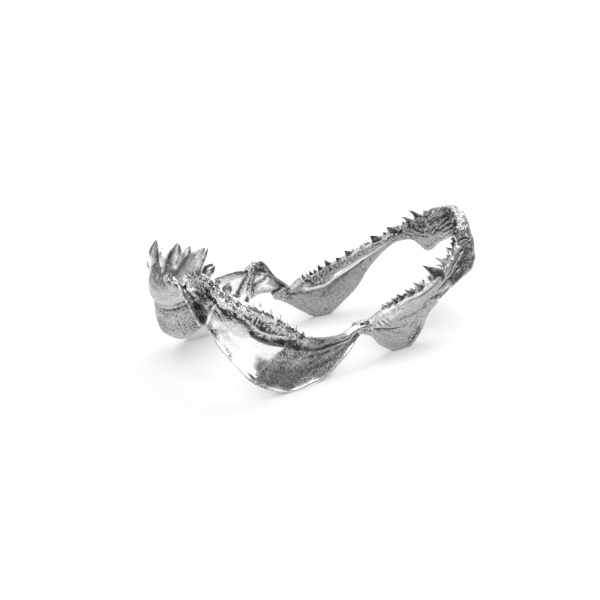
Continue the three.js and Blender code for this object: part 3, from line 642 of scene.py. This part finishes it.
# Relief of the rough cast: (height, size, seed), and streaks along the jaw
CRAGS = ((.20, 1.9, 1), (.18, .95, 2), (.13, .5, 3))
STREAK, STREAK_LONG, STREAK_TALL, STREAK_SEED = .33, 3.4, .75, 6
# Waves left everywhere by the wax: (height, size, seed)
WAVES = ((.07, 3.5, 4), (.025, 1.2, 5))
# Where oxide stays: (steps of relaxing, depth of a full hollow)
HOLLOWS = ((6, .05), (30, .22))
LATTICE = 32            # random numbers along each side of the block that repeats
JOINS, BLENDS = 2, 4    # steps of relaxing that soften the joined mesh, and its paint


def remeshed(skin, name):
    """The pieces of a skin as one seamless body, made with a voxel grid in millimetres."""
    holder = bpy.data.objects.new(name, skin.mesh(name))
    bpy.context.scene.collection.objects.link(holder)
    modifier = holder.modifiers.new("one_body", "REMESH")
    modifier.mode = "VOXEL"
    modifier.voxel_size = VOXEL
    evaluated = holder.evaluated_get(bpy.context.evaluated_depsgraph_get())
    mesh = bpy.data.meshes.new_from_object(evaluated)
    bpy.data.objects.remove(holder)
    return mesh


def positions(mesh):
    co = np.empty(len(mesh.vertices) * 3)
    mesh.vertices.foreach_get("co", co)
    return co.reshape(-1, 3)


def normals(mesh):
    ways = np.empty(len(mesh.vertices) * 3)
    mesh.vertex_normals.foreach_get("vector", ways)
    return ways.reshape(-1, 3)


def edge_ends(mesh):
    ends = np.empty(len(mesh.edges) * 2, int)
    mesh.edges.foreach_get("vertices", ends)
    return ends.reshape(-1, 2)


def relaxed(points, edges, times):
    """Points, or numbers of points, moved halfway to the mean of their neighbours each time."""
    ends = np.concatenate([edges, edges[:, ::-1]])
    degree = np.bincount(ends[:, 0], minlength=len(points))[:, None]
    for _ in range(times):
        total = np.stack([np.bincount(ends[:, 0], column[ends[:, 1]], len(points))
                          for column in points.T], 1)
        points = points + .5 * (total / np.maximum(degree, 1) - points)
    return points


def lumps(points, size, seed):
    """Smooth random numbers from -1 to 1 over space, with features of that size."""
    lattice = np.random.default_rng(seed).uniform(-1, 1, (LATTICE, LATTICE, LATTICE))
    p = points / size
    cell = np.floor(p).astype(int)
    w = p - cell
    w = w * w * (3 - 2 * w)
    total = np.zeros(len(points))
    for corner in np.ndindex(2, 2, 2):
        share = np.prod(np.where(corner, w, 1 - w), axis=1)
        total += share * lattice[tuple(((cell + corner) % LATTICE).T)]
    return total


def attribute(mesh, name, values):
    layer = mesh.attributes.new(name, "FLOAT", "POINT")
    layer.data.foreach_set("value", np.asarray(values, np.float32))


def finished(mesh, name, material):
    """A mesh in millimetres as a smooth object in the part's frame, nowhere below the floor."""
    co = (positions(mesh) + SHIFT) * MM
    co[:, 2] = np.maximum(co[:, 2], 0)
    mesh.vertices.foreach_set("co", co.ravel())
    mesh.name = name
    mesh.polygons.foreach_set("use_smooth", np.ones(len(mesh.polygons), bool))
    mesh.materials.clear()
    mesh.materials.append(material)
    mesh.update()
    obj = bpy.data.objects.new(name, mesh)
    bpy.context.scene.collection.objects.link(obj)
    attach(obj, "root")
    return obj


# ---- metal -------------------------------------------------------------------------------------

SILVER = (.92, .92, .92, 1)
SATIN_SILVER = (.46, .455, .45, 1)
# Dark of oxide and of painted shade and dark reflection, for the casting and for the teeth
OXIDE_AND_SHADE = (.055, .048, .043, 1)
TOOTH_OXIDE_AND_SHADE = (.050, .046, .043, 1)
PAPER = (.92, .92, .92, 1)
# Sizes of the patterns in the metal, in millimetres: specks, fine grain and slow clouds
GRIT, GRAIN, CLOUD = .28, .20, 4.0
TOOTH_GRIT, TOOTH_CLOUD = .32, 1.6
# Depths of the fine relief, in millimetres
GRAIN_DEPTH, GRIT_DEPTH, TOOTH_DEPTH = .10, .16, .14


class Nodes:
    """Short names for making a material's nodes."""

    def __init__(self, name):
        self.material = bpy.data.materials.new(name)
        self.material.use_nodes = True
        self.tree = self.material.node_tree
        self.shader = self.tree.nodes["Principled BSDF"]
        self.where = self.new("ShaderNodeTexCoord").outputs["Object"]

    def new(self, kind, **settings):
        node = self.tree.nodes.new(kind)
        for key, value in settings.items():
            setattr(node, key, value)
        return node

    def link(self, value, socket):
        if isinstance(value, bpy.types.NodeSocket):
            self.tree.links.new(value, socket)
        else:
            socket.default_value = value

    def math(self, operation, a, b=0.0, clamp=False):
        node = self.new("ShaderNodeMath", operation=operation, use_clamp=clamp)
        self.link(a, node.inputs[0])
        self.link(b, node.inputs[1])
        return node.outputs[0]

    def noise(self, size_mm, detail):
        node = self.new("ShaderNodeTexNoise")
        self.link(self.where, node.inputs["Vector"])
        node.inputs["Scale"].default_value = 1000 / size_mm
        node.inputs["Detail"].default_value = detail
        node.inputs["Roughness"].default_value = 0.6
        return node.outputs["Fac"]

    def span(self, value, low, high, to_low=0.0, to_high=1.0):
        node = self.new("ShaderNodeMapRange")
        self.link(value, node.inputs["Value"])
        ends = {"From Min": low, "From Max": high, "To Min": to_low, "To Max": to_high}
        for name, end in ends.items():
            self.link(end, node.inputs[name])
        return node.outputs["Result"]

    def painted(self, name):
        return self.new("ShaderNodeAttribute", attribute_name=name).outputs["Fac"]

    def mix(self, factor, a, b):
        node = self.new("ShaderNodeMix", data_type="RGBA")
        self.link(factor, node.inputs["Factor"])
        self.link(a, node.inputs["A"])
        self.link(b, node.inputs["B"])
        return node.outputs["Result"]

    def bump(self, height, strength, distance_mm, normal=None):
        node = self.new("ShaderNodeBump")
        self.link(height, node.inputs["Height"])
        self.link(strength, node.inputs["Strength"])
        node.inputs["Distance"].default_value = distance_mm * MM
        if normal is not None:
            self.link(normal, node.inputs["Normal"])
        return node.outputs["Normal"]


def cast_metal():
    """Polished silver with a satin grain where it is left as cast, dark oxide in its hollows, and
    painted stain that is partly oxide and partly painted shade and dark reflection.
    """
    n = Nodes("cast_metal")
    recess, satin, stain_and_shade = n.painted("recess"), n.painted("satin"), n.painted("stain_and_shade")
    grit, grain, cloud = n.noise(GRIT, 4), n.noise(GRAIN, 2), n.noise(CLOUD, 4)
    in_hollows = n.math("MULTIPLY", recess, n.span(cloud, .3, .7, .7, 1.2))
    in_stains_and_shade = n.math("MULTIPLY", stain_and_shade, n.span(grit, .45, .57, .25, 1.15))
    in_stains_and_shade = n.math("MULTIPLY", in_stains_and_shade, n.span(cloud, .35, .65, .75, 1.25))
    in_pits = n.math("MULTIPLY", n.math("MULTIPLY", satin, n.span(grit, .50, .60)), .65)
    oxide_and_shade = n.math("ADD", n.math("ADD", in_hollows, in_stains_and_shade), in_pits, clamp=True)
    clean = n.mix(n.span(satin, .45, .95), SILVER, SATIN_SILVER)
    n.link(n.mix(oxide_and_shade, clean, OXIDE_AND_SHADE), n.shader.inputs["Base Color"])
    n.shader.inputs["Metallic"].default_value = 1.0
    rough = n.math("ADD", n.math("MULTIPLY", satin, .26), n.math("MULTIPLY", oxide_and_shade, .22))
    rough = n.math("ADD", rough, n.span(cloud, .3, .7, .10, .18))
    n.link(rough, n.shader.inputs["Roughness"])
    grained = n.bump(grain, n.math("ADD", n.math("MULTIPLY", satin, .55), .10), GRAIN_DEPTH)
    speckled = n.bump(grit, n.math("ADD", n.math("MULTIPLY", satin, .35), .18), GRIT_DEPTH, grained)
    n.link(speckled, n.shader.inputs["Normal"])
    return n.material


def tooth_metal():
    """Metal of the teeth: painted shade on their faces, oxide in fine pits, and bright edges."""
    n = Nodes("tooth_metal")
    grit, cloud = n.noise(TOOTH_GRIT, 3), n.noise(TOOTH_CLOUD, 3)
    # Painted shade: one half of a tooth or both darker, as the light falls on it
    painted_face_shade = n.math("MULTIPLY", n.painted("shade"), n.span(cloud, .30, .62, .72, 1.1))
    in_pits = n.math("MULTIPLY", n.span(grit, .55, .68), .5)
    oxide_and_shade = n.math("ADD", painted_face_shade, in_pits, clamp=True)
    n.link(n.mix(oxide_and_shade, SILVER, TOOTH_OXIDE_AND_SHADE), n.shader.inputs["Base Color"])
    n.shader.inputs["Metallic"].default_value = 1.0
    rough = n.math("ADD", n.span(cloud, .3, .7, .14, .26), n.math("MULTIPLY", oxide_and_shade, .2))
    n.link(rough, n.shader.inputs["Roughness"])
    n.link(n.bump(grit, .35, TOOTH_DEPTH), n.shader.inputs["Normal"])
    return n.material


def nearest_paint(points, painted):
    """Paint and place of each point, from the painted point nearest to it."""
    places, colours = painted
    tree = KDTree(len(places))
    for i, place in enumerate(places.tolist()):
        tree.insert(place, i)
    tree.balance()
    return colours[[tree.find(point)[1] for point in points.tolist()]]


def add_casting():
    """The seamless casting, with its relief, and satin, stain and painted shade, and hollows kept at its
    points.
    """
    skin, painted = build_casting()
    mesh = remeshed(skin, "casting")
    edges = edge_ends(mesh)
    shape = relaxed(positions(mesh), edges, JOINS)
    satin, stain_and_shade, rough, along, up = relaxed(nearest_paint(shape, painted), edges, BLENDS).T
    craggy = sum(height * lumps(shape, size, seed) for height, size, seed in CRAGS)
    on_jaw = np.stack([along / STREAK_LONG, up / STREAK_TALL, 0 * up], 1)
    craggy = craggy + STREAK * lumps(on_jaw, 1, STREAK_SEED)
    wavy = sum(height * lumps(shape, size, seed) for height, size, seed in WAVES)
    shape += normals(mesh) * (craggy * rough + wavy)[:, None]
    mesh.vertices.foreach_set("co", shape.ravel())
    mesh.update()
    recess = np.zeros(len(shape))
    for steps, depth in HOLLOWS:
        sunk = np.einsum("ij,ij->i", shape - relaxed(shape, edges, steps), normals(mesh))
        recess -= sunk / depth
    attribute(mesh, "recess", np.clip(recess, 0, 1))
    attribute(mesh, "satin", satin)
    attribute(mesh, "stain_and_shade", stain_and_shade)
    casting = finished(mesh, "casting", cast_metal())
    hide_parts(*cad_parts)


def add_teeth():
    """The teeth, set in the casting."""
    skin = build_teeth()
    mesh = skin.mesh("teeth")
    attribute(mesh, "shade", np.concatenate(skin.tags))
    teeth = finished(mesh, "teeth", tooth_metal())
    teeth.data.set_sharp_from_angle(angle=TOOTH_EDGE)


# ---- studio ------------------------------------------------------------------------------------

CAMERA = np.array([-157.9, -201.0, 95.0])       # before the shift to the part's origin
TURN, TILT = math.radians(37), math.radians(18)
LENS, SENSOR = 60, 36

# The floor in metres, along the way that the camera looks
FLOOR_NEAR, FLOOR_FLAT, FLOOR_CURVE, WALL_TOP, FLOOR_HALF = -3.0, 1.2, .8, 4.0, 5

# Soft panels in metres: name, place, what they face, size, watts
LIGHTS = [
    ("overhead", (.1, .10, 1.3), (0, .05, 0), (1.8, 1.6), 16),
    ("front", (-.45, -1.0, .95), (0, 0, 0), (1.0, .5), 4),
    ("low_front", (-.55, -1.15, .43), (0, 0, .02), (2.6, .84), 9),
    ("key", (1.1, .35, .75), (0, 0, 0), (.7, .9), 4),
    ("side", (-1.1, .1, .6), (0, 0, 0), (.5, .9), 2.0),
    ("backdrop", (.6, .9, 1.6), (1.3, 1.8, .6), (2.0, 1.0), 18),
]
STUDIO_GREY = (.13, .13, .132, 1)


def add_camera():
    right = Vector((math.cos(TURN), -math.sin(TURN), 0))
    ahead = Vector((math.sin(TURN) * math.cos(TILT), math.cos(TURN) * math.cos(TILT),
                    -math.sin(TILT)))
    up = right.cross(ahead)
    camera = bpy.data.objects.new("camera", bpy.data.cameras.new("camera"))
    bpy.context.scene.collection.objects.link(camera)
    camera.data.sensor_fit = "HORIZONTAL"
    camera.data.sensor_width = SENSOR
    camera.data.lens = LENS
    camera.data.clip_start = .01
    camera.data.clip_end = 50
    basis = Matrix((right, up, -ahead)).transposed().to_4x4()
    camera.matrix_world = Matrix.Translation(Vector((CAMERA + SHIFT) * MM)) @ basis
    bpy.context.scene.camera = camera


def add_light(name, place, aim, size, power):
    data = bpy.data.lights.new(name, "AREA")
    data.shape = "RECTANGLE"
    data.size, data.size_y = size
    data.energy = power
    light = bpy.data.objects.new(name, data)
    bpy.context.scene.collection.objects.link(light)
    light.location = place
    light.rotation_euler = (Vector(aim) - Vector(place)).to_track_quat("-Z", "Y").to_euler()


def add_floor():
    """A pale sheet that runs back from the object and curves up into the backdrop."""
    ahead = np.array([math.sin(TURN), math.cos(TURN)])
    side = np.array([ahead[1], -ahead[0]])
    line = [(FLOOR_NEAR, 0.0), (FLOOR_FLAT, 0.0)]
    line += [(FLOOR_FLAT + FLOOR_CURVE * math.sin(a), FLOOR_CURVE - FLOOR_CURVE * math.cos(a))
             for a in np.linspace(0, math.pi / 2, 16)[1:]]
    line.append((FLOOR_FLAT + FLOOR_CURVE, WALL_TOP))
    points = [(*(ahead * d + side * s), z) for d, z in line for s in (-FLOOR_HALF, FLOOR_HALF)]
    mesh = bpy.data.meshes.new("floor")
    mesh.from_pydata(points, [], [(i, i + 1, i + 3, i + 2) for i in range(0, len(points) - 2, 2)])
    mesh.polygons.foreach_set("use_smooth", np.ones(len(mesh.polygons), bool))
    n = Nodes("paper")
    n.shader.inputs["Base Color"].default_value = PAPER
    n.shader.inputs["Roughness"].default_value = .8
    n.shader.inputs["Specular IOR Level"].default_value = .2
    mesh.materials.append(n.material)
    floor = bpy.data.objects.new("floor", mesh)
    bpy.context.scene.collection.objects.link(floor)


def add_world():
    world = bpy.data.worlds.new("studio")
    world.use_nodes = True
    world.node_tree.nodes["Background"].inputs["Color"].default_value = STUDIO_GREY
    world.node_tree.nodes["Background"].inputs["Strength"].default_value = 1.0
    bpy.context.scene.world = world


add_casting()
add_teeth()
add_camera()
add_floor()
for light in LIGHTS:
    add_light(*light)
add_world()
bpy.context.scene.view_settings.view_transform = "Standard"
